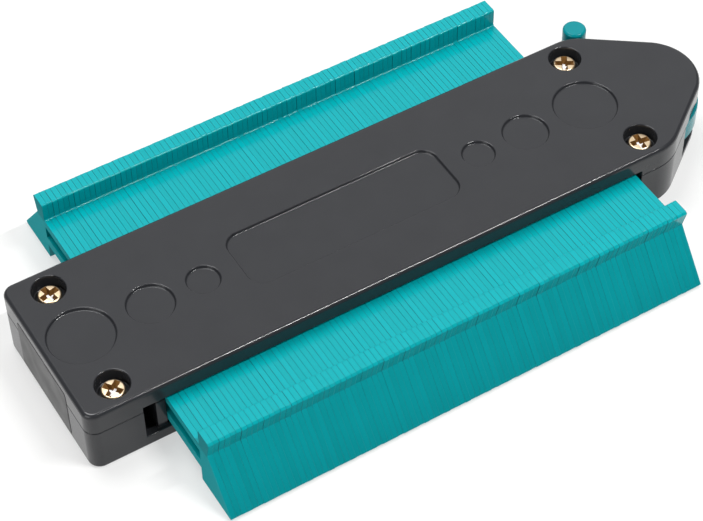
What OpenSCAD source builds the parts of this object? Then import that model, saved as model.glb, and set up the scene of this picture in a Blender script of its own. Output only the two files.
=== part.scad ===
// Contour gauge: a stack of thin plastic lamellae that slide through a two-part case.
// A lever in the nose turns a cam that presses the stack against a stop and locks it.
// +X runs along the case to the nose, +Y is the lever's side, +Z is up.
// The origin lies under the middle of the stack, on the face that the case rests on.

/* [Lamellae] */
// Number of lamellae in the stack
lamella_count = 92; // [60:4:120]
// Distance from one lamella to the next
lamella_pitch = 1.385; // [1.2:0.005:1.6]
// Air between two neighbours
lamella_gap = 0.03; // [0.02:0.01:0.1]
// Lamellae that slide together as one set
lamellae_per_set = 2; // [2:1:4]
// Where the stack stands in the photo, off the case's centre line
stack_shift = 1.7; // [-3:0.1:3]
// Largest stray of one lamella from its neighbours
lamella_stray = 0.06; // [0:0.02:0.3]
// From the middle of a lamella to the toe that touches the work
toe_reach = 51.4; // [49:0.1:56]
// From the middle of a lamella to the waist above the toe
waist_reach = 41.9; // [40.5:0.1:43]
// From the middle of a lamella to the outer edge of its fin
fin_reach = 43; // [41:0.1:45]
// From the middle of a lamella to the stop face of its fin and foot
stop_reach = 38.2; // [35:0.1:39]
// Clearance of the foot above the table
foot_clear = 0.3; // [0.1:0.1:1]
// Flat left on the sharp toe and on the fin's outer edge
edge_flat = 0.5; // [0.2:0.1:1]
// Underside of the lower bar
lower_bar_z = 4.7; // [4.2:0.1:5.5]
// Thickness of the lower bar
lower_bar_t = 2.8; // [2:0.1:3]
// Height of the slot for the guide bars
slot_h = 3.5; // [3:0.1:3.8]
// Thickness of the upper bar
upper_bar_t = 2.2; // [1.8:0.1:2.3]
// Height of the fin above the upper bar
fin_h = 5.1; // [3:0.1:6]

/* [Case] */
// Width across the long sides
case_w = 44.2; // [40:0.1:48]
// Overall height
case_h = 18.6; // [17.5:0.1:22]
// Height of the joint between lower case and cover
split_z = 12.4; // [11.8:0.1:12.8]
// Side wall
wall = 2; // [1.5:0.1:2.5]
// Floor of the lower case
floor_t = 2; // [1.5:0.1:2.4]
// Roof of the cover
roof_t = 2; // [1.5:0.1:2.5]
// From the stack to the blunt end
blunt_end_l = 19.4; // [17:0.1:24]
// Vertical corner radius of the blunt end
corner_r = 3; // [2.5:0.1:5]
// Rounding of the cover's top edge
top_round = 1.1; // [0.5:0.1:1.8]
// Rounding of the lower case's bottom edge
base_round = 0.7; // [0.4:0.1:1.2]

/* [Nose] */
// Angle of the two slanted sides to the long axis
nose_angle = 36.6; // [32:0.2:42]
// From the lever's pivot to the slanted sides
nose_side_d = 13.45; // [13.2:0.05:13.9]
// Radius of the tip
tip_r = 12.5; // [11.5:0.1:13.5]
// Radius of the two shoulders
shoulder_r = 12; // [8:0.5:14]

/* [Side openings] */
// Length of the bare window beside the stack
window_l = 5.9; // [4:0.1:8]
// Air between the stack and the nose end of the opening
opening_spare = 1.5; // [1:0.1:2]
// Sill of the opening
sill_z = 3.4; // [2.8:0.1:4]
// Air between the lamellae and the lintel
lintel_clear = 0.7; // [0.4:0.1:1]
// Air between the lamellae and the rails inside
rail_clear = 0.15; // [0.1:0.01:0.3]
// Width of a rail
rail_w = 3; // [2:0.5:4]
// From the centre line to a rail
rail_y = 16; // [14.5:0.5:17]
// Thickness of the stop wall behind the stack
stop_t = 2.5; // [2:0.1:3]
// Setback of the stop wall's ends from the sides of the case
stop_setback = 0.9; // [0.2:0.1:1.5]

/* [Cover marks] */
// Middle of the panel and of the disc pattern along X
panel_x = -4.8; // [-6:0.1:6]
// Length of the sunk panel
panel_l = 56.8; // [40:0.1:60]
// Width of the sunk panel
panel_w = 17; // [12:0.1:20]
// Corner radius of the panel
panel_r = 4; // [2:0.1:6]
// Depth of the panel
panel_depth = 0.65; // [0.2:0.05:0.8]
// Depth of the sunk discs
disc_depth = 0.65; // [0.2:0.05:0.8]
// Slope of the sides of panel and discs, in plan
mark_draft = 0.1; // [0.05:0.05:0.5]
// From the panel's middle to the small, middle and large discs
disc_x = [37.45, 51, 68.5];
// Diameters of the small, middle and large discs
disc_d = [8.1, 11.4, 15.9];

/* [Screws] */
// From the blunt end to its screws
blunt_screw_l = 9.5; // [8.5:0.1:11]
// From the stack to the nose screws
nose_screw_l = 5; // [4.7:0.1:6]
// From the centre line to each screw
screw_y = 15.85; // [15:0.05:16.5]
// Shank diameter
shank_d = 2.9; // [2.4:0.1:3.2]
// Head diameter
head_d = 5.6; // [5:0.1:6.2]
// Head height
head_h = 2; // [1.6:0.1:2.4]
// Counterbore diameter
counterbore_d = 8.05; // [7.6:0.05:8.6]
// Cover left under the screw head
head_seat_t = 2.6; // [2:0.1:3]
// Radial fit of a screw in its hole
screw_fit = 0.02; // [0.02:0.01:0.1]
// Width of the cross recess
cross_w = 1.1; // [0.7:0.05:1.2]
// Length of the cross recess
cross_l = 3.9; // [2.6:0.1:4.2]
// Depth of the cross recess
cross_depth = 1.3; // [0.8:0.1:1.5]

/* [Guide bars] */
// Width of a guide bar
bar_w = 3.2; // [2.5:0.1:3.4]
// From the centre line to a guide bar
bar_y = 10.9; // [10.6:0.1:11.2]
// Air above and below a bar in the lamella slots
bar_clear = 0.1; // [0.05:0.01:0.2]
// Length of bar held in the nose end of the case
bar_hold = 3; // [2:0.1:3.4]
// Air round a bar in its pockets
pocket_clear = 0.1; // [0.05:0.01:0.2]

/* [Lock] */
// Travel of the clamp plate
clamp_travel = 0.5; // [0.3:0.05:0.8]
// Swing of the lever
lever_swing = 50; // [35:1:60]
// Thickness of the clamp plate
plate_t = 3.5; // [3:0.1:4]
// Width of the clamp plate
plate_w = 17.2; // [14:0.1:17.2]
// Play of the clamp plate in its guide
plate_clear = 0.15; // [0.1:0.01:0.3]
// Play between cam, plate and stack
cam_clear = 0.05; // [0.04:0.01:0.1]
// Radius of the lever's drum
drum_r = 14; // [13.6:0.05:14.2]
// Underside of the drum
drum_z = 6.3; // [5.5:0.1:7]
// Height of the drum
drum_h = 5.8; // [5:0.1:6]
// Air round the drum
drum_clear = 0.9; // [0.5:0.1:1.2]
// Air above and below the drum at its bosses
drum_float = 0.1; // [0.05:0.01:0.2]
// Diameter of the pivot pin
pin_d = 6; // [4:0.5:7]
// Running clearance of the drum on its pin
pin_run = 0.05; // [0.02:0.01:0.09]
// Diameter of the bosses round the pin
boss_d = 13; // [11:0.5:15]
// Roof of the cover over the pin
pin_roof = 1.8; // [1.2:0.1:2.2]
// From the pivot to the thumb post
post_reach = 24.4; // [24:0.1:28]
// Direction of the lever arm when locked
post_angle = 99; // [92:1:100]
// Diameter of the thumb post
post_d = 6; // [5:0.1:7]
// Top of the thumb post
post_top_z = 18; // [14:0.1:20]
// Bevel on the thumb post
post_bevel = 0.5; // [0.3:0.1:1]
// Height of the lever arm
arm_h = 4; // [3:0.1:5]
// Air round the arm in its slot
arm_clear = 0.6; // [0.4:0.1:1]

/* [Hidden] */
$fn = 96;
eps = 0.01;
round_steps = 5;
shell_fn = 64;
drum_rim = 2.2;
drum_web = 2;
black = "#2d2d2f";
teal = "#12a5aa";
brass = "#c8a560";
steel = "#b9bcc0";

// Places along the case
stack_l = lamella_count * lamella_pitch;
stack_x0 = -stack_l / 2;
stack_x1 = stack_l / 2;
case_x0 = stack_x0 - blunt_end_l;
half_w = case_w / 2;
inner_half_w = half_w - wall;
stop_x = stack_x0 - cam_clear - stop_t;
stop_half_w = half_w - stop_setback;
opening_x0 = stack_x0 - window_l;
cavity_x1 = stack_x1 + opening_spare;
bar_x1 = cavity_x1 + bar_hold;
plate_x = stack_x1 + cam_clear;
pivot_x = plate_x + plate_t + cam_clear + drum_r;
screw_places = [
    for (x = [case_x0 + blunt_screw_l, stack_x1 + nose_screw_l])
        for (side = [-1, 1])
            [x, side * screw_y]
];

// Heights
slot_z = lower_bar_z + lower_bar_t;
upper_bar_z = slot_z + slot_h;
lamella_top_z = upper_bar_z + upper_bar_t;
fin_top_z = lamella_top_z + fin_h;
lintel_z = lamella_top_z + lintel_clear;
roof_z = case_h - roof_t;
bar_h = slot_h - 2 * bar_clear;
bar_z = slot_z + bar_clear;
drum_top_z = drum_z + drum_h;
plate_z = sill_z - plate_clear;
plate_room_z = lamella_top_z + plate_clear;
head_seat_z = split_z + head_seat_t;
pin_z = floor_t;
pin_top_z = case_h - pin_roof - drum_float;
chamber_r = drum_r + drum_clear;

// Round corners of the case's plan as centre and radius
shoulder_y = half_w - shoulder_r;
shoulder_x = pivot_x + (nose_side_d - shoulder_r - shoulder_y * cos(nose_angle)) / sin(nose_angle);
tip_x = pivot_x + (nose_side_d - tip_r) / sin(nose_angle);
case_corners = [
    [case_x0 + corner_r, half_w - corner_r, corner_r],
    [case_x0 + corner_r, corner_r - half_w, corner_r],
    [shoulder_x, -shoulder_y, shoulder_r],
    [shoulder_x, shoulder_y, shoulder_r],
    [tip_x, 0, tip_r]
];

// Names of the lamella sets, counted from the blunt end
set_count = ceil(lamella_count / lamellae_per_set);
function set_name(i) = str("lamella_set_", i < 9 ? "0" : "", i + 1);

// Outer form of one shell: the case's plan with a rounded upper edge
module soft_shell(h, edge_r) {
    hull()
        for (corner = case_corners)
            translate([corner[0], corner[1], 0])
                rotate_extrude($fn = shell_fn)
                    polygon(concat(
                        [[0, h], [0, 0], [corner[2], 0]],
                        [for (k = [0:round_steps])
                            let (a = 90 * k / round_steps)
                            [corner[2] - edge_r + edge_r * cos(a), h - edge_r + edge_r * sin(a)]]
                    ));
}

// Box given by its low and high corners
module span(low, high) {
    translate(low)
        cube(high - low);
}

// Places children on both sides of the centre line
module both_sides() {
    for (side = [0, 1])
        mirror([0, side, 0])
            children();
}

// Openings in both long walls, for the lamellae and the bare window
module side_openings() {
    both_sides()
        span([opening_x0, inner_half_w - eps, sill_z], [cavity_x1, half_w + wall, lintel_z]);
}

// Round room of the drum under the cover, open where it breaks through the slanted sides
module drum_chamber() {
    translate([pivot_x, 0, floor_t])
        cylinder(r = chamber_r, h = case_h);
}

// Guide of the clamp plate between cavity and drum
module plate_room() {
    plate_half = plate_w / 2 + plate_clear;
    span([cavity_x1 - eps, -plate_half, plate_z - plate_clear],
         [pivot_x, plate_half, plate_room_z]);
}

// Notches that hold the ends of the guide bars, open towards the cover
module bar_notches() {
    half = bar_w / 2 + pocket_clear;
    both_sides()
        for (x = [[stop_x - eps, stop_x + stop_t + eps], [cavity_x1 - eps, bar_x1 + pocket_clear]])
            span([x[0], bar_y - half, bar_z], [x[1], bar_y + half, case_h]);
}

// Slot through the rear slanted side, swept by the lever arm
module arm_slot() {
    reach = post_reach + post_d;
    half = post_d / 2 + arm_clear;
    z0 = drum_z - arm_clear;
    height = split_z - z0 + eps;
    translate([pivot_x, 0, z0]) {
        rotate(post_angle - lever_swing)
            rotate_extrude(angle = lever_swing)
                translate([drum_r - drum_rim, 0])
                    square([reach, height]);
        for (a = [post_angle, post_angle - lever_swing])
            rotate(a)
                translate([drum_r - drum_rim, -half, 0])
                    cube([reach, 2 * half, height]);
    }
}

module lower_case() {
    color(black)
        difference() {
            union() {
                difference() {
                    translate([0, 0, split_z])
                        mirror([0, 0, 1])
                            soft_shell(split_z, base_round);
                    span([case_x0 + wall, -inner_half_w, floor_t], [cavity_x1, inner_half_w, case_h]);
                    side_openings();
                    drum_chamber();
                    plate_room();
                    arm_slot();
                }
                // Stop wall that the stack is pressed against
                span([stop_x, -stop_half_w, floor_t - eps], [stop_x + stop_t, stop_half_w, split_z]);
                // Rails under the lamellae
                both_sides()
                    span([stop_x, rail_y - rail_w / 2, floor_t - eps],
                         [cavity_x1 + eps, rail_y + rail_w / 2, lower_bar_z - rail_clear]);
                // Posts for the screws of the blunt end
                for (p = screw_places)
                    if (p[0] < 0)
                        translate([p[0], p[1], floor_t - eps])
                            cylinder(d = shank_d + 2 * wall, h = split_z - floor_t + eps);
                // Boss that carries the drum
                translate([pivot_x, 0, floor_t - eps])
                    cylinder(d = boss_d, h = drum_z - drum_float - floor_t + eps);
            }
            bar_notches();
            for (p = screw_places)
                translate([p[0], p[1], sill_z])
                    cylinder(d = shank_d + 2 * screw_fit, h = case_h);
            translate([pivot_x, 0, pin_z])
                cylinder(d = pin_d + 2 * screw_fit, h = case_h);
        }
}

module upper_cover() {
    tongue_half = bar_w / 2 - pocket_clear;
    color(black)
        difference() {
            union() {
                difference() {
                    translate([0, 0, split_z])
                        soft_shell(case_h - split_z, top_round);
                    span([case_x0 + wall, -inner_half_w, 0], [cavity_x1, inner_half_w, roof_z]);
                    side_openings();
                    plate_room();
                }
                // Upper half of the stop wall
                span([stop_x, -stop_half_w, split_z], [stop_x + stop_t, stop_half_w, roof_z + eps]);
                // Rails over the lamellae
                both_sides()
                    span([stop_x, rail_y - rail_w / 2, lamella_top_z + rail_clear],
                         [cavity_x1 + eps, rail_y + rail_w / 2, roof_z + eps]);
                // Sleeves round the counterbores of the blunt end
                for (p = screw_places)
                    if (p[0] < 0)
                        intersection() {
                            translate([p[0], p[1], split_z])
                                cylinder(d = counterbore_d + wall, h = roof_z - split_z + eps);
                            span([case_x0 + wall / 2, -inner_half_w - eps, split_z],
                                 [stop_x + stop_t, inner_half_w + eps, case_h]);
                        }
                // Tongues that hold the guide bars down in their notches
                both_sides()
                    for (x = [[stop_x, stop_x + stop_t], [cavity_x1, bar_x1]])
                        span([x[0], bar_y - tongue_half, bar_z + bar_h],
                             [x[1], bar_y + tongue_half, split_z + eps]);
                // Boss over the drum
                translate([pivot_x, 0, drum_top_z + drum_float])
                    cylinder(d = boss_d, h = plate_room_z - drum_top_z);
            }
            translate([pivot_x, 0, 0])
                cylinder(d = pin_d + 2 * screw_fit, h = case_h - pin_roof);
            for (p = screw_places)
                translate([p[0], p[1], 0]) {
                    cylinder(d = shank_d + 2 * screw_fit, h = case_h);
                    translate([0, 0, head_seat_z])
                        cylinder(d = counterbore_d, h = case_h);
                }
            // Sunk discs either side of the panel
            for (i = [0:len(disc_x) - 1])
                for (side = [-1, 1])
                    translate([panel_x + side * disc_x[i], 0, case_h])
                        sunk_round(disc_d[i] / 2, disc_depth);
            sunk_panel();
        }
}

// Shallow round recess with sloped sides, full size at the surface
module sunk_round(r, depth) {
    slope = mark_draft / depth;
    translate([0, 0, -depth])
        cylinder(r1 = r - mark_draft, r2 = r + slope * wall, h = depth + wall);
}

// Round-cornered recess in the middle of the cover
module sunk_panel() {
    in_x = panel_l / 2 - panel_r;
    in_y = panel_w / 2 - panel_r;
    translate([panel_x, 0, case_h])
        hull()
            for (x = [-in_x, in_x])
                for (y = [-in_y, in_y])
                    translate([x, y, 0])
                        sunk_round(panel_r, panel_depth);
}

// Pan-head screws with a cross recess
module case_screws() {
    crown = head_h * 0.3;
    color(brass)
        for (p = screw_places)
            translate([p[0], p[1], head_seat_z])
                difference() {
                    union() {
                        rotate_extrude()
                            polygon([
                                [0, 0],
                                [head_d / 2, 0],
                                [head_d / 2, head_h - 2 * crown],
                                [head_d / 2 - crown, head_h - crown / 2],
                                [head_d / 4, head_h],
                                [0, head_h]
                            ]);
                        translate([0, 0, sill_z + head_seat_t - head_seat_z])
                            cylinder(d = shank_d, h = head_seat_z - sill_z - head_seat_t + eps);
                    }
                    for (a = [25, 115])
                        rotate(a)
                            translate([-cross_l / 2, -cross_w / 2, head_h - cross_depth])
                                cube([cross_l, cross_w, head_h]);
                }
}

// Steel bar that runs through the slots of all lamellae
module guide_bar(side) {
    color(steel)
        translate([stop_x, side * bar_y - bar_w / 2, bar_z])
            cube([bar_x1 - stop_x, bar_w, bar_h]);
}

// Plate between the cam and the stack
module clamp_plate() {
    color(steel)
        span([plate_x, -plate_w / 2, plate_z], [plate_x + plate_t, plate_w / 2, lamella_top_z]);
}

// Pin that the lever turns on
module pivot_pin() {
    color(steel)
        translate([pivot_x, 0, pin_z])
            cylinder(d = pin_d, h = pin_top_z - pin_z);
}

// Part cut from the drum so that it draws back evenly as the lever turns
module cam_relief() {
    rate = clamp_travel / (lever_swing * PI / 180);
    // Past the last contact, as far as the full radius would still reach the plate
    over = acos(1 - clamp_travel / drum_r) + 4;
    steps = 16;
    flank = [
        for (k = [0:steps])
            let (
                a = (lever_swing + over) * k / steps,
                h = drum_r - rate * a * PI / 180
            )
            [h * cos(180 + a) + rate * sin(180 + a), h * sin(180 + a) - rate * cos(180 + a)]
    ];
    rim = [
        for (k = [steps:-1:0])
            let (a = 180 + (lever_swing + over) * k / steps)
            2 * drum_r * [cos(a), sin(a)]
    ];
    linear_extrude(3 * drum_h, center = true)
        polygon(concat(flank, rim));
}

module lock_lever() {
    groove_r1 = drum_r - clamp_travel - drum_rim - drum_web / 2;
    color(teal)
        translate([pivot_x, 0, drum_z])
            difference() {
                union() {
                    difference() {
                        cylinder(r = drum_r, h = drum_h);
                        cam_relief();
                    }
                    rotate(post_angle)
                        translate([drum_r - drum_rim, -post_d / 2, 0])
                            cube([post_reach - drum_r + drum_rim, post_d, arm_h]);
                    rotate(post_angle)
                        translate([post_reach, 0, 0])
                            thumb_post(post_top_z - drum_z);
                }
                cylinder(d = pin_d + 2 * pin_run, h = 3 * drum_h, center = true);
                translate([0, 0, drum_h - drum_web])
                    difference() {
                        cylinder(r = groove_r1, h = drum_h);
                        translate([0, 0, -eps])
                            cylinder(d = boss_d, h = 2 * drum_h);
                    }
            }
}

// Round post with a bevelled top
module thumb_post(h) {
    rotate_extrude()
        polygon([
            [0, 0],
            [post_d / 2, 0],
            [post_d / 2, h - post_bevel],
            [post_d / 2 - post_bevel, h],
            [0, h]
        ]);
}

// Small, steady stray of a lamella from the row
function stray(i) = lamella_stray * sin(i * 137.5) * cos(i * 41);

// Half outline of a lamella as distance from its middle and height
function half_lamella() = [
    [stop_reach, lower_bar_z],
    [stop_reach, foot_clear],
    [toe_reach - edge_flat, foot_clear],
    [toe_reach, foot_clear + edge_flat],
    [waist_reach, lamella_top_z],
    [fin_reach, fin_top_z - edge_flat],
    [fin_reach - edge_flat, fin_top_z],
    [stop_reach, fin_top_z],
    [stop_reach, lamella_top_z]
];

// One lamella, cut out along its length for the guide bars
module lamella() {
    half = half_lamella();
    other = [for (k = [len(half) - 1:-1:0]) [-half[k][0], half[k][1]]];
    rotate([90, 0, 90])
        linear_extrude(lamella_pitch - lamella_gap)
            difference() {
                polygon(concat(half, other));
                translate([-stop_reach, slot_z])
                    square([2 * stop_reach, slot_h]);
            }
}

module lamella_set(set) {
    first = set * lamellae_per_set;
    last = min(first + lamellae_per_set, lamella_count) - 1;
    color(teal)
        for (i = [first:last])
            translate([stack_x0 + i * lamella_pitch + lamella_gap / 2, stack_shift + stray(i), 0])
                lamella();
}

lower_case();
upper_cover();
case_screws();
guide_bar(-1);  // guide_bar_front
guide_bar(1);  // guide_bar_rear
clamp_plate();
lock_lever();
pivot_pin();
for (i = [0:set_count - 1])
    lamella_set(i);
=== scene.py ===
import bpy
import math
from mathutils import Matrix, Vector


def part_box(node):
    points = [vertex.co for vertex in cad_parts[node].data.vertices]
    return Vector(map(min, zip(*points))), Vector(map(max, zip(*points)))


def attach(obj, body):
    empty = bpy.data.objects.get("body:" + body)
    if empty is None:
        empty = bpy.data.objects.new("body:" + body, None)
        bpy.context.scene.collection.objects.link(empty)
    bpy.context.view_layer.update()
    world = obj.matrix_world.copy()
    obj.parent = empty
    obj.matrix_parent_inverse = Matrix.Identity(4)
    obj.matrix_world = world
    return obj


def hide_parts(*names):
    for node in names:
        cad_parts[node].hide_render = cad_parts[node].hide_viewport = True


# Contour gauge on a white table: black two-part case, teal lamellae, lock lever in the nose.
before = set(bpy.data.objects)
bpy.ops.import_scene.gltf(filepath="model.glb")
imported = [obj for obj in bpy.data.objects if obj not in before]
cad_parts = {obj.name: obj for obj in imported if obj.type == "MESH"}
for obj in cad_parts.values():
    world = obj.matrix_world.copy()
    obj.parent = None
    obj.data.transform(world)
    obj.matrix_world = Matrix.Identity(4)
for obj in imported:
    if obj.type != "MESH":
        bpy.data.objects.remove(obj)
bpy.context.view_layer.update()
mm = 0.001
print("frame loaded,", len(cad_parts), "nodes")


def selectOnly(piece):
    bpy.ops.object.select_all(action="DESELECT")
    piece.select_set(True)
    bpy.context.view_layer.objects.active = piece


def linear(hexColour):
    parts = [int(hexColour[i:i + 2], 16) / 255 for i in (1, 3, 5)]
    return tuple(c / 12.92 if c <= 0.04045 else ((c + 0.055) / 1.055) ** 2.4 for c in parts) + (1.0,)


def addNode(tree, kind, inputs=None, **settings):
    node = tree.nodes.new(kind)
    for name, value in settings.items():
        setattr(node, name, value)
    for name, value in (inputs or {}).items():
        if isinstance(value, bpy.types.NodeSocket):
            tree.links.new(value, node.inputs[name])
        else:
            node.inputs[name].default_value = value
    return node


def newMaterial(name):
    material = bpy.data.materials.new(name)
    material.use_nodes = True
    material.node_tree.nodes.clear()
    return material, material.node_tree


# runs the pending modifiers of a piece, oldest first
def applyModifiers(piece):
    selectOnly(piece)
    for name in [m.name for m in piece.modifiers]:
        bpy.ops.object.modifier_apply(modifier=name)


# small moulded edge on every sharp corner, flat faces keep their flat shading
def softenEdges(piece, edge):
    bevel = piece.modifiers.new("mouldEdge", "BEVEL")
    bevel.width = edge["radius"] * mm
    bevel.segments = edge["segments"]
    bevel.limit_method = "ANGLE"
    bevel.angle_limit = math.radians(edge["fromAngle"])
    bevel.use_clamp_overlap = False
    applyModifiers(piece)
    bpy.ops.object.shade_smooth_by_angle(angle=math.radians(edge["fromAngle"]))
    weighted = piece.modifiers.new("flatFaces", "WEIGHTED_NORMAL")
    weighted.keep_sharp = True
    applyModifiers(piece)


# triangles of a CAD copy are merged and flat ones joined, in mm and degrees
cadClean = {"merge": 0.002, "flatAngle": 0.2}


# a copy of a CAD node that gets moulded edges and stands for the node
def dressNode(node, pieceName, body, material, edge, pickRound=None):
    piece = bpy.data.objects.new(pieceName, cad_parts[node].data.copy())
    bpy.context.scene.collection.objects.link(piece)
    selectOnly(piece)
    bpy.ops.object.mode_set(mode="EDIT")
    bpy.ops.mesh.select_all(action="SELECT")
    bpy.ops.mesh.remove_doubles(threshold=cadClean["merge"] * mm)
    bpy.ops.mesh.dissolve_limited(angle_limit=math.radians(cadClean["flatAngle"]))
    bpy.ops.mesh.select_mode(type="EDGE")
    bpy.ops.mesh.select_all(action="DESELECT")
    bpy.ops.object.mode_set(mode="OBJECT")
    if pickRound:
        for line in piece.data.edges:
            line.select = pickRound(*[piece.data.vertices[v].co / mm for v in line.vertices])
        bpy.ops.object.mode_set(mode="EDIT")
        bpy.ops.mesh.bevel(
            offset=edge["finRound"] * mm, segments=edge["finSteps"], affect="EDGES", clamp_overlap=False)
        bpy.ops.object.mode_set(mode="OBJECT")
    softenEdges(piece, edge)
    piece.data.materials.clear()
    piece.data.materials.append(material)
    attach(piece, body)
    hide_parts(node)


# camera, fitted to the photograph, in mm and degrees
cameraView = {
    "place": (-175.79, -294.09, 397.77), "turn": (40.691, 0.651, -31.185),
    "lens": 111.83, "sensor": 36, "near": 10,
}
bpy.ops.object.camera_add(
    location=[c * mm for c in cameraView["place"]],
    rotation=[math.radians(c) for c in cameraView["turn"]],
)
camera = bpy.context.object
camera.data.sensor_width = cameraView["sensor"]
camera.data.lens = cameraView["lens"]
camera.data.clip_start = cameraView["near"] * mm
bpy.context.scene.camera = camera

# white light table in a white room: a little glow from below keeps the shadows pale
room = {"tint": "#ffffff", "strength": 0.2}
floor = {"tint": "#a6a6a5", "glow": 0.5, "size": 6.0, "drop": 0.05, "rough": 0.9, "specular": 0.1}
world = bpy.data.worlds.new("whiteRoom")
world.use_nodes = True
world.node_tree.nodes["Background"].inputs["Color"].default_value = linear(room["tint"])
world.node_tree.nodes["Background"].inputs["Strength"].default_value = room["strength"]
bpy.context.scene.world = world
bpy.context.scene.view_settings.view_transform = "Standard"

bpy.ops.object.select_all(action="DESELECT")
bpy.ops.mesh.primitive_plane_add(size=floor["size"], location=(0, 0, -floor["drop"] * mm))
table = bpy.context.object
table.name = "table"
# Opal acrylic, lit from below: dull white without a mirror image.
tableTop, tree = newMaterial("opal acrylic table")
shader = addNode(tree, "ShaderNodeBsdfPrincipled", {
    "Base Color": linear(floor["tint"]), "Roughness": floor["rough"], "Specular IOR Level": floor["specular"],
    "Emission Color": linear(room["tint"]), "Emission Strength": floor["glow"]})
addNode(tree, "ShaderNodeOutputMaterial", {"Surface": shader.outputs[0]})
table.data.materials.append(tableTop)

# soft box overhead, white panel behind that the black top mirrors, bright strip along the case
# that draws the lines of light on its edges, fill for the blunt end; metres and watts
softBoxes = {
    "softBoxTop": {"place": (-0.12, 0.35, 1.15), "aim": (0, 0, 0.01), "size": (0.5, 0.5), "power": 7.4},
    "whitePanel": {"place": (0.54, 1.12, 1.30), "aim": (0, 0, 0.01), "size": (2.2, 2.2), "power": 13.5},
    "edgeStrip": {"place": (0.37, -0.40, 0.95), "aim": (0.37, 0, 0.01), "size": (0.4, 0.035), "power": 9.0},
    "sideFill": {"place": (-0.90, -0.26, 0.50), "aim": (0, 0, 0.01), "size": (0.6, 0.6), "power": 3.2},
}
for name, box in softBoxes.items():
    spot = Vector(box["place"])
    turn = (Vector(box["aim"]) - spot).to_track_quat("-Z", "Y").to_euler()
    bpy.ops.object.light_add(type="AREA", location=spot, rotation=turn)
    lamp = bpy.context.object
    lamp.name = name
    lamp.data.shape = "RECTANGLE"
    lamp.data.size, lamp.data.size_y = box["size"]
    lamp.data.energy = box["power"]
print("stage set")

noiseMiddle = (0.3, 0.7)  # most of a noise lies between these two, which take the ends of a span

# Black ABS, moulded in a spark-eroded tool: a fine even grain on a glossy ground, so the black
# reads as dark grey under white light and its rounded edges draw thin lines of light.
# The real grain is about 0.1 mm, drawn at 0.45 mm to show at all.
blackLook = {
    "dark": "#26272a", "pale": "#2c2d30", "grain": 0.45, "cloud": 9.0, "rough": (0.12, 0.18),
    "relief": 0.12, "depth": 0.02, "ior": 1.54, "specular": 0.31,
}
blackAbs, tree = newMaterial("moulded black ABS")
place = addNode(tree, "ShaderNodeTexCoord").outputs["Object"]
cloud = addNode(tree, "ShaderNodeTexNoise", {
    "Vector": place, "Scale": 1 / (blackLook["cloud"] * mm), "Detail": 3.0})
grain = addNode(tree, "ShaderNodeTexNoise", {
    "Vector": place, "Scale": 1 / (blackLook["grain"] * mm), "Detail": 2.0})
tone = addNode(tree, "ShaderNodeMix", {
    "Factor": cloud.outputs["Fac"],
    "A": linear(blackLook["dark"]), "B": linear(blackLook["pale"])}, data_type="RGBA")
rough = addNode(tree, "ShaderNodeMapRange", {
    "Value": grain.outputs["Fac"], "From Min": noiseMiddle[0], "From Max": noiseMiddle[1],
    "To Min": blackLook["rough"][0], "To Max": blackLook["rough"][1]})
relief = addNode(tree, "ShaderNodeBump", {
    "Height": grain.outputs["Fac"], "Strength": blackLook["relief"], "Distance": blackLook["depth"] * mm})
shader = addNode(tree, "ShaderNodeBsdfPrincipled", {
    "Base Color": tone.outputs["Result"], "Roughness": rough.outputs["Result"],
    "Normal": relief.outputs["Normal"], "IOR": blackLook["ior"], "Specular IOR Level": blackLook["specular"]})
addNode(tree, "ShaderNodeOutputMaterial", {"Surface": shader.outputs[0]})

# Teal ABS lamellae, moulded one by one: each plate has its own slight tone and gloss, with faint
# drag lines along it from the mould and from sliding. Dust and painted shade in the gaps draw a
# darker line along the plates' edges, and painted shade darkens the slanted toes towards their lower ends.
lamellaRow = {"count": 92, "sets": 46}
lamellaRow["start"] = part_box("lamella_set_01")[0].x
lamellaRow["end"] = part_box("lamella_set_46")[1].x
lamellaRow["pitch"] = (lamellaRow["end"] - lamellaRow["start"]) / lamellaRow["count"]
tealLook = {
    "deep": "#00949a", "plain": "#009aa1", "rough": (0.13, 0.2), "drag": (0.35, 14.0, 0.5),
    "relief": 0.05, "depth": 0.02, "ior": 1.54, "specular": 0.19,
}
# dust and painted shade in the gaps between lamellae, darker along the edges of the plates
gapShadeAndDust = {
    "tint": "#004a50", "reach": 0.14, "rough": 0.9, "slopes": 0.35, "settleZ": (12.4, 13.0),
    "faint": 0.2, "strong": 0.9, "seldom": 1.8,
}
# painted shade: the slanted toes are darker towards their lower ends, fading out at 'top' mm
toeShadeRamp = {"top": 18.0, "most": 0.5}
leverLook = {"deep": "#007a81", "plain": "#008088", "cloud": 8.0}
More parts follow.
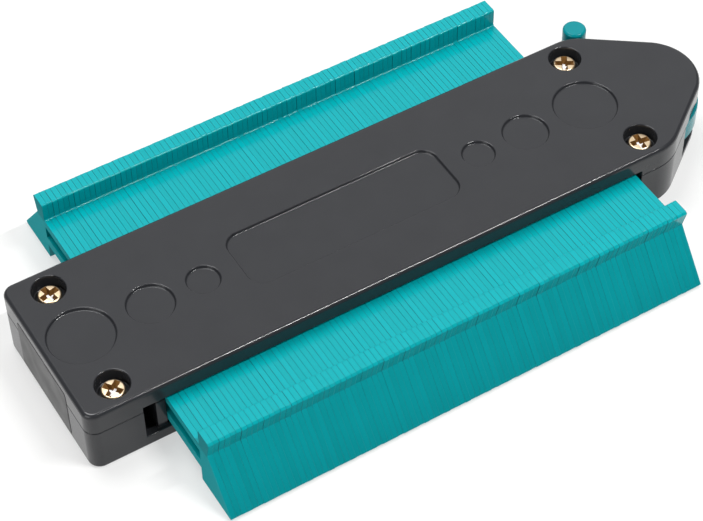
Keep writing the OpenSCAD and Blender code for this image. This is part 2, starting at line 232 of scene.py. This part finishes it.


# tone of each lamella, nearness to a gap, dust and painted shade in the gaps, and painted shade on the toes
def lamellaMarks(tree, where):
    point = addNode(tree, "ShaderNodeSeparateXYZ", {"Vector": where.outputs["Object"]})
    shifted = addNode(tree, "ShaderNodeMath", {
        0: point.outputs["X"], 1: lamellaRow["start"]}, operation="SUBTRACT")
    counted = addNode(tree, "ShaderNodeMath", {
        0: shifted.outputs[0], 1: lamellaRow["pitch"]}, operation="DIVIDE")
    number = addNode(tree, "ShaderNodeMath", {0: counted.outputs[0]}, operation="FLOOR")
    chance = addNode(tree, "ShaderNodeTexWhiteNoise", {"W": number.outputs[0]}, noise_dimensions="1D")

    # the dust and painted shade differ from gap to gap, strong in a few of them;
    # fromGap runs from 0 at a gap to 0.5 in the middle of a plate
    gapNumber = addNode(tree, "ShaderNodeMath", {0: counted.outputs[0]}, operation="ROUND")
    gapChance = addNode(tree, "ShaderNodeTexWhiteNoise", {"W": gapNumber.outputs[0]}, noise_dimensions="1D")
    seldom = addNode(tree, "ShaderNodeMath", {
        0: gapChance.outputs["Value"], 1: gapShadeAndDust["seldom"]}, operation="POWER")
    perGapShadeAndDust = addNode(tree, "ShaderNodeMapRange", {
        "Value": seldom.outputs[0], "To Min": gapShadeAndDust["faint"], "To Max": gapShadeAndDust["strong"]})
    fromGap = addNode(tree, "ShaderNodeMath", {0: counted.outputs[0], 1: 0.5}, operation="PINGPONG")
    nearGap = addNode(tree, "ShaderNodeMapRange", {
        "Value": fromGap.outputs[0], "From Max": gapShadeAndDust["reach"] * mm / lamellaRow["pitch"],
        "To Min": 1.0, "To Max": 0.0})
    inGap = addNode(tree, "ShaderNodeMath", {
        0: nearGap.outputs["Result"], 1: perGapShadeAndDust.outputs["Result"]}, operation="MULTIPLY")

    # less of it stays on the slopes than on the flat plates
    settled = addNode(tree, "ShaderNodeMapRange", {
        "Value": point.outputs["Z"], "To Min": gapShadeAndDust["slopes"], "To Max": 1.0,
        "From Min": gapShadeAndDust["settleZ"][0] * mm, "From Max": gapShadeAndDust["settleZ"][1] * mm})
    lineShadeAndDust = addNode(tree, "ShaderNodeMath", {
        0: inGap.outputs[0], 1: settled.outputs["Result"]}, operation="MULTIPLY")

    # painted shade, darker towards the toes' lower ends, only on faces that look along the lamella, not on
    # its broad sides
    toes = addNode(tree, "ShaderNodeMapRange", {
        "Value": point.outputs["Z"], "From Max": toeShadeRamp["top"] * mm,
        "To Min": toeShadeRamp["most"], "To Max": 0.0})
    facing = addNode(tree, "ShaderNodeSeparateXYZ", {"Vector": where.outputs["Normal"]})
    slanted = addNode(tree, "ShaderNodeMath", {0: facing.outputs["Y"]}, operation="ABSOLUTE")
    paintedToeShade = addNode(tree, "ShaderNodeMath", {
        0: toes.outputs["Result"], 1: slanted.outputs[0]}, operation="MULTIPLY")
    shadeAndDust = addNode(tree, "ShaderNodeMath", {0: lineShadeAndDust.outputs[0], 1: paintedToeShade.outputs[0]}, operation="MAXIMUM")
    return chance.outputs["Value"], nearGap.outputs["Result"], shadeAndDust.outputs[0]


def makeTeal(name, tones, perLamella):
    material, tree = newMaterial(name)
    where = addNode(tree, "ShaderNodeTexCoord")
    place = where.outputs["Object"]
    if perLamella:
        spread, nearGap, shadeAndDust = lamellaMarks(tree, where)
    else:
        spread = addNode(tree, "ShaderNodeTexNoise", {
            "Vector": place, "Scale": 1 / (tones["cloud"] * mm)}).outputs["Fac"]
    tone = addNode(tree, "ShaderNodeMix", {
        "Factor": spread, "A": linear(tones["deep"]), "B": linear(tones["plain"])}, data_type="RGBA")
    # dust and painted shade darken the tone in the gaps, painted shade darkens it on the toes
    if perLamella:
        tone = addNode(tree, "ShaderNodeMix", {
            "Factor": shadeAndDust, "A": tone.outputs["Result"], "B": linear(gapShadeAndDust["tint"])}, data_type="RGBA")
    lines = addNode(tree, "ShaderNodeMapping", {
        "Vector": place, "Scale": [1 / (size * mm) for size in tealLook["drag"]]})
    drag = addNode(tree, "ShaderNodeTexNoise", {"Vector": lines.outputs[0], "Scale": 1.0, "Detail": 2.0})
    gloss = addNode(tree, "ShaderNodeMapRange", {
        "Value": drag.outputs["Fac"], "From Min": noiseMiddle[0], "From Max": noiseMiddle[1],
        "To Min": tealLook["rough"][0], "To Max": tealLook["rough"][1]})
    rough = gloss.outputs["Result"]
    if perLamella:
        dull = addNode(tree, "ShaderNodeMath", {0: nearGap, 1: gapShadeAndDust["rough"]}, operation="MULTIPLY")
        duller = addNode(tree, "ShaderNodeMath", {0: rough, 1: dull.outputs[0]}, operation="MAXIMUM")
        rough = duller.outputs[0]
    relief = addNode(tree, "ShaderNodeBump", {
        "Height": drag.outputs["Fac"], "Strength": tealLook["relief"], "Distance": tealLook["depth"] * mm})
    shader = addNode(tree, "ShaderNodeBsdfPrincipled", {
        "Base Color": tone.outputs["Result"], "Roughness": rough, "Normal": relief.outputs["Normal"],
        "IOR": tealLook["ior"], "Specular IOR Level": tealLook["specular"]})
    addNode(tree, "ShaderNodeOutputMaterial", {"Surface": shader.outputs[0]})
    return material


tealLamella = makeTeal("moulded teal ABS lamella", tealLook, True)
tealLever = makeTeal("moulded teal ABS lever", leverLook, False)

# Steel, zinc plated and yellow passivated: a warm metal that drifts between
# straw and bronze, with a soft barrel-plated shine.
zincLook = {
    "straw": "#ead9bd", "bronze": "#c6a982", "drift": 1.6, "grit": 0.3, "rough": (0.3, 0.42),
    "relief": 0.1, "depth": 0.02,
}
yellowZinc, tree = newMaterial("yellow zinc plated steel")
place = addNode(tree, "ShaderNodeTexCoord").outputs["Object"]
drift = addNode(tree, "ShaderNodeTexNoise", {
    "Vector": place, "Scale": 1 / (zincLook["drift"] * mm), "Detail": 2.0})
grit = addNode(tree, "ShaderNodeTexNoise", {
    "Vector": place, "Scale": 1 / (zincLook["grit"] * mm), "Detail": 2.0})
tone = addNode(tree, "ShaderNodeMix", {
    "Factor": drift.outputs["Fac"],
    "A": linear(zincLook["straw"]), "B": linear(zincLook["bronze"])}, data_type="RGBA")
rough = addNode(tree, "ShaderNodeMapRange", {
    "Value": grit.outputs["Fac"], "From Min": noiseMiddle[0], "From Max": noiseMiddle[1],
    "To Min": zincLook["rough"][0], "To Max": zincLook["rough"][1]})
relief = addNode(tree, "ShaderNodeBump", {
    "Height": grit.outputs["Fac"], "Strength": zincLook["relief"], "Distance": zincLook["depth"] * mm})
shader = addNode(tree, "ShaderNodeBsdfPrincipled", {
    "Base Color": tone.outputs["Result"], "Roughness": rough.outputs["Result"],
    "Normal": relief.outputs["Normal"], "Metallic": 1.0})
addNode(tree, "ShaderNodeOutputMaterial", {"Surface": shader.outputs[0]})

# Inside of the cross recess: the plating is thin and dull there, so it reads brown, darkened further as
# painted shade.
recessShadeLook = {
    "light": "#8e6430", "dark": "#4e3216", "patch": 0.5, "rough": 0.75, "metal": 0.2, "specular": 0.15,
}
dullRecessAndShade, tree = newMaterial("dull plating and painted shade in the recess")
place = addNode(tree, "ShaderNodeTexCoord").outputs["Object"]
patch = addNode(tree, "ShaderNodeTexNoise", {"Vector": place, "Scale": 1 / (recessShadeLook["patch"] * mm)})
tone = addNode(tree, "ShaderNodeMix", {
    "Factor": patch.outputs["Fac"],
    "A": linear(recessShadeLook["light"]), "B": linear(recessShadeLook["dark"])}, data_type="RGBA")
shader = addNode(tree, "ShaderNodeBsdfPrincipled", {
    "Base Color": tone.outputs["Result"], "Roughness": recessShadeLook["rough"],
    "Metallic": recessShadeLook["metal"], "Specular IOR Level": recessShadeLook["specular"]})
addNode(tree, "ShaderNodeOutputMaterial", {"Surface": shader.outputs[0]})

# Bright drawn steel: pale grey metal with fine lines along the drawing
# direction. Real lines are about 0.05 mm apart, drawn at 0.2 mm to show.
steelLook = {"pale": "#c9cbce", "dim": "#a9abaf", "line": 0.2, "run": 20.0, "rough": (0.24, 0.38)}
drawnSteel, tree = newMaterial("bright drawn steel")
place = addNode(tree, "ShaderNodeTexCoord").outputs["Object"]
lines = addNode(tree, "ShaderNodeMapping", {
    "Vector": place, "Scale": [1 / (steelLook[size] * mm) for size in ("run", "line", "line")]})
draw = addNode(tree, "ShaderNodeTexNoise", {"Vector": lines.outputs[0], "Scale": 1.0, "Detail": 2.0})
tone = addNode(tree, "ShaderNodeMix", {
    "Factor": draw.outputs["Fac"],
    "A": linear(steelLook["pale"]), "B": linear(steelLook["dim"])}, data_type="RGBA")
rough = addNode(tree, "ShaderNodeMapRange", {
    "Value": draw.outputs["Fac"], "From Min": noiseMiddle[0], "From Max": noiseMiddle[1],
    "To Min": steelLook["rough"][0], "To Max": steelLook["rough"][1]})
shader = addNode(tree, "ShaderNodeBsdfPrincipled", {
    "Base Color": tone.outputs["Result"], "Roughness": rough.outputs["Result"], "Metallic": 1.0})
addNode(tree, "ShaderNodeOutputMaterial", {"Surface": shader.outputs[0]})

# Black polyester label film: darker and more even than the case, with a slight
# waviness where it is rolled down by hand.
filmLook = {
    "dark": "#111113", "pale": "#19191b", "wave": 5.0, "rough": (0.34, 0.44),
    "relief": 0.2, "depth": 0.05, "ior": 1.6,
}
labelFilm, tree = newMaterial("black polyester film")
place = addNode(tree, "ShaderNodeTexCoord").outputs["Object"]
wave = addNode(tree, "ShaderNodeTexNoise", {
    "Vector": place, "Scale": 1 / (filmLook["wave"] * mm), "Detail": 1.0})
tone = addNode(tree, "ShaderNodeMix", {
    "Factor": wave.outputs["Fac"],
    "A": linear(filmLook["dark"]), "B": linear(filmLook["pale"])}, data_type="RGBA")
rough = addNode(tree, "ShaderNodeMapRange", {
    "Value": wave.outputs["Fac"], "From Min": noiseMiddle[0], "From Max": noiseMiddle[1],
    "To Min": filmLook["rough"][0], "To Max": filmLook["rough"][1]})
relief = addNode(tree, "ShaderNodeBump", {
    "Height": wave.outputs["Fac"], "Strength": filmLook["relief"], "Distance": filmLook["depth"] * mm})
shader = addNode(tree, "ShaderNodeBsdfPrincipled", {
    "Base Color": tone.outputs["Result"], "Roughness": rough.outputs["Result"],
    "Normal": relief.outputs["Normal"], "IOR": filmLook["ior"]})
addNode(tree, "ShaderNodeOutputMaterial", {"Surface": shader.outputs[0]})
print("materials made")

# the two shells of the case
coverEdge = {"radius": 0.32, "segments": 3, "fromAngle": 32}
dressNode("upper_cover", "upperCover", "case", blackAbs, coverEdge)
caseEdge = {"radius": 0.22, "segments": 3, "fromAngle": 32}
dressNode("lower_case", "lowerCase", "case", blackAbs, caseEdge)
print("case dressed")

# lock lever
leverEdge = {"radius": 0.2, "segments": 2, "fromAngle": 32}
dressNode("lock_lever", "lockLever", "lock_lever", tealLever, leverEdge)
print("lever dressed")

# lamellae, two to a set; the fin's root and its inner top corner are rounder than the rest
lamellaEdge = {
    "segments": 2, "fromAngle": 25, "finRound": 0.55, "finSteps": 4,
    "finest": 0.015, "spread": 0.045, "wearStep": 0.618,
}
lamellaForm = {"middle": 1.7, "stopReach": 38.2, "rootZ": 13.2, "topZ": 18.3, "slack": 0.2}


def onFinCorner(one, two):
    form = lamellaForm
    for point in (one, two):
        reach = abs(point.y - form["middle"])
        if abs(reach - form["stopReach"]) > form["slack"]:
            return False
        if min(abs(point.z - form["rootZ"]), abs(point.z - form["topZ"])) > form["slack"]:
            return False
    return abs(one.z - two.z) < form["slack"] and abs(one.x - two.x) > form["slack"]


for k in range(1, lamellaRow["sets"] + 1):
    node = f"lamella_set_{k:02d}"
    wear = ((k * lamellaEdge["wearStep"]) % 1) ** 2  # a few sets are rounder, so the lines between them vary
    edge = {**lamellaEdge, "radius": lamellaEdge["finest"] + lamellaEdge["spread"] * wear}
    dressNode(node, f"lamellaSet{k:02d}", node, tealLamella, edge, onFinCorner)
print("lamellae dressed")

# steel inside the case keeps its CAD shape
for node in ("guide_bar_front", "guide_bar_rear", "clamp_plate", "pivot_pin"):
    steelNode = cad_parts[node]
    steelNode.data.materials.clear()
    steelNode.data.materials.append(drawnSteel)

# pan-head screws, one modelled on the origin and copied to the four corners, each turned its own way
screw = {
    "headRadius": 2.8, "headHeight": 2.0, "headSides": 48, "headRound": 0.5, "roundSteps": 6, "seat": 15.0,
    "wingLength": 4.7, "wingWidth": 1.5, "wingDepth": 1.6, "wingTaper": 0.45, "faceSlack": 0.01,
    "coreRadius": 1.2, "coreSides": 24, "coreTaper": 0.6, "coreInHead": 0.5, "tip": 6.0,
    "threadRadius": 0.25, "threadSides": 6, "threadPitch": 1.1, "threadFrom": 1.0, "threadEnd": 0.5,
    "smoothAngle": 28, "levelSlack": 0.001,
    "places": [(-73.61, 15.85, 13.5), (-73.61, -15.85, 36.0), (68.71, 15.85, 59.0), (68.71, -15.85, 82.0)],
}
bpy.ops.object.select_all(action="DESELECT")
bpy.ops.mesh.primitive_cylinder_add(
    vertices=screw["headSides"], radius=screw["headRadius"] * mm, depth=screw["headHeight"] * mm,
    location=(0, 0, (screw["seat"] + screw["headHeight"] / 2) * mm))
screwPiece = bpy.context.object
screwPiece.name = "caseScrews"
screwPiece.data.materials.append(yellowZinc)
screwPiece.data.materials.append(dullRecessAndShade)
bpy.ops.object.transform_apply(location=True, rotation=True, scale=True)
bpy.ops.object.mode_set(mode="EDIT")
bpy.ops.mesh.select_mode(type="EDGE")
bpy.ops.mesh.select_all(action="DESELECT")
bpy.ops.object.mode_set(mode="OBJECT")
topZ = (screw["seat"] + screw["headHeight"]) * mm
for line in screwPiece.data.edges:
    ends = [screwPiece.data.vertices[v].co for v in line.vertices]
    line.select = all(abs(p.z - topZ) < screw["levelSlack"] * mm for p in ends)
bpy.ops.object.mode_set(mode="EDIT")
bpy.ops.mesh.bevel(offset=screw["headRound"] * mm, segments=screw["roundSteps"], affect="EDGES")
bpy.ops.object.mode_set(mode="OBJECT")

# cross recess: two tapered wings
for quarter in (0, 90):
    bpy.ops.object.select_all(action="DESELECT")
    bpy.ops.mesh.primitive_cube_add(
        size=1, location=(0, 0, topZ), rotation=(0, 0, math.radians(quarter)))
    wing = bpy.context.object
    wing.scale = (screw["wingLength"] * mm, screw["wingWidth"] * mm, 2 * screw["wingDepth"] * mm)
    bpy.ops.object.transform_apply(location=False, rotation=False, scale=True)
    for vertex in wing.data.vertices:  # true size at the head's top, narrow at the bottom
        narrow = screw["wingTaper"] if vertex.co.z < 0 else 2 - screw["wingTaper"]
        vertex.co.x *= narrow
        vertex.co.y *= narrow
    cut = screwPiece.modifiers.new("crossRecess", "BOOLEAN")
    cut.operation = "DIFFERENCE"
    cut.solver = "EXACT"
    cut.object = wing
    applyModifiers(screwPiece)
    bpy.data.objects.remove(wing)

# the faces of the recess take the dull plating with its painted shade
for face in screwPiece.data.polygons:
    middle = face.center / mm
    sunk = topZ / mm - middle.z
    inWing = min(abs(middle.x), abs(middle.y)) < screw["wingWidth"] / 2
    inReach = middle.xy.length < screw["wingLength"] / 2
    if inWing and inReach and screw["faceSlack"] < sunk < screw["wingDepth"] + screw["faceSlack"]:
        face.material_index = 1

# core and thread rings under the head, in the case and out of sight
shankParts = []
bpy.ops.object.select_all(action="DESELECT")
coreLength = screw["seat"] - screw["tip"] + screw["coreInHead"]
bpy.ops.mesh.primitive_cone_add(
    vertices=screw["coreSides"], depth=coreLength * mm,
    radius1=screw["coreRadius"] * screw["coreTaper"] * mm, radius2=screw["coreRadius"] * mm,
    location=(0, 0, (screw["tip"] + coreLength / 2) * mm))
shankParts.append(bpy.context.object)
threadLength = screw["seat"] - screw["tip"] - screw["threadFrom"] - screw["threadEnd"]
for k in range(int(threadLength / screw["threadPitch"])):
    bpy.ops.mesh.primitive_torus_add(
        major_radius=screw["coreRadius"] * mm, minor_radius=screw["threadRadius"] * mm,
        major_segments=screw["coreSides"], minor_segments=screw["threadSides"],
        location=(0, 0, (screw["seat"] - screw["threadFrom"] - k * screw["threadPitch"]) * mm))
    shankParts.append(bpy.context.object)
selectOnly(screwPiece)
for part in shankParts:
    part.select_set(True)
bpy.ops.object.join()
selectOnly(screwPiece)
bpy.ops.object.shade_smooth_by_angle(angle=math.radians(screw["smoothAngle"]))
screwCopies = []
for x, y, turn in screw["places"]:
    selectOnly(screwPiece)
    bpy.ops.object.duplicate(linked=False)
    copy = bpy.context.object
    copy.location = (x * mm, y * mm, 0)
    copy.rotation_euler = (0, 0, math.radians(turn))
    bpy.ops.object.transform_apply(location=True, rotation=True, scale=True)
    screwCopies.append(copy)
bpy.data.objects.remove(screwPiece)
selectOnly(screwCopies[0])
for copy in screwCopies[1:]:
    copy.select_set(True)
bpy.ops.object.join()
screws = bpy.context.object
screws.name = "caseScrews"
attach(screws, "case")
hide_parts("case_screws")
print("screws made")

# blank label on the blunt end, its corners given along the end and up
label = {"low": (-11.0, 1.0), "high": (13.5, 15.6), "thick": 0.08, "corner": 0.8, "cornerSteps": 5}
labelEdge = {"radius": 0.02, "segments": 2, "fromAngle": 40}
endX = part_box("lower_case")[0].x
labelWide = label["high"][0] - label["low"][0]
labelTall = label["high"][1] - label["low"][1]
bpy.ops.object.select_all(action="DESELECT")
bpy.ops.mesh.primitive_plane_add(
    size=1, rotation=(0, -math.pi / 2, 0),
    location=(endX, (label["low"][0] + labelWide / 2) * mm, (label["low"][1] + labelTall / 2) * mm))
labelPiece = bpy.context.object
labelPiece.name = "endLabel"
labelPiece.scale = (labelTall * mm, labelWide * mm, 1)
bpy.ops.object.transform_apply(location=True, rotation=True, scale=True)
bpy.ops.object.mode_set(mode="EDIT")
bpy.ops.mesh.select_all(action="SELECT")
bpy.ops.mesh.bevel(offset=label["corner"] * mm, segments=label["cornerSteps"], affect="VERTICES")
bpy.ops.object.mode_set(mode="OBJECT")
film = labelPiece.modifiers.new("film", "SOLIDIFY")
film.thickness = label["thick"] * mm
film.offset = 1.0  # all of it outward
applyModifiers(labelPiece)
softenEdges(labelPiece, labelEdge)
labelPiece.data.materials.append(labelFilm)
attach(labelPiece, "case")
print("label made")
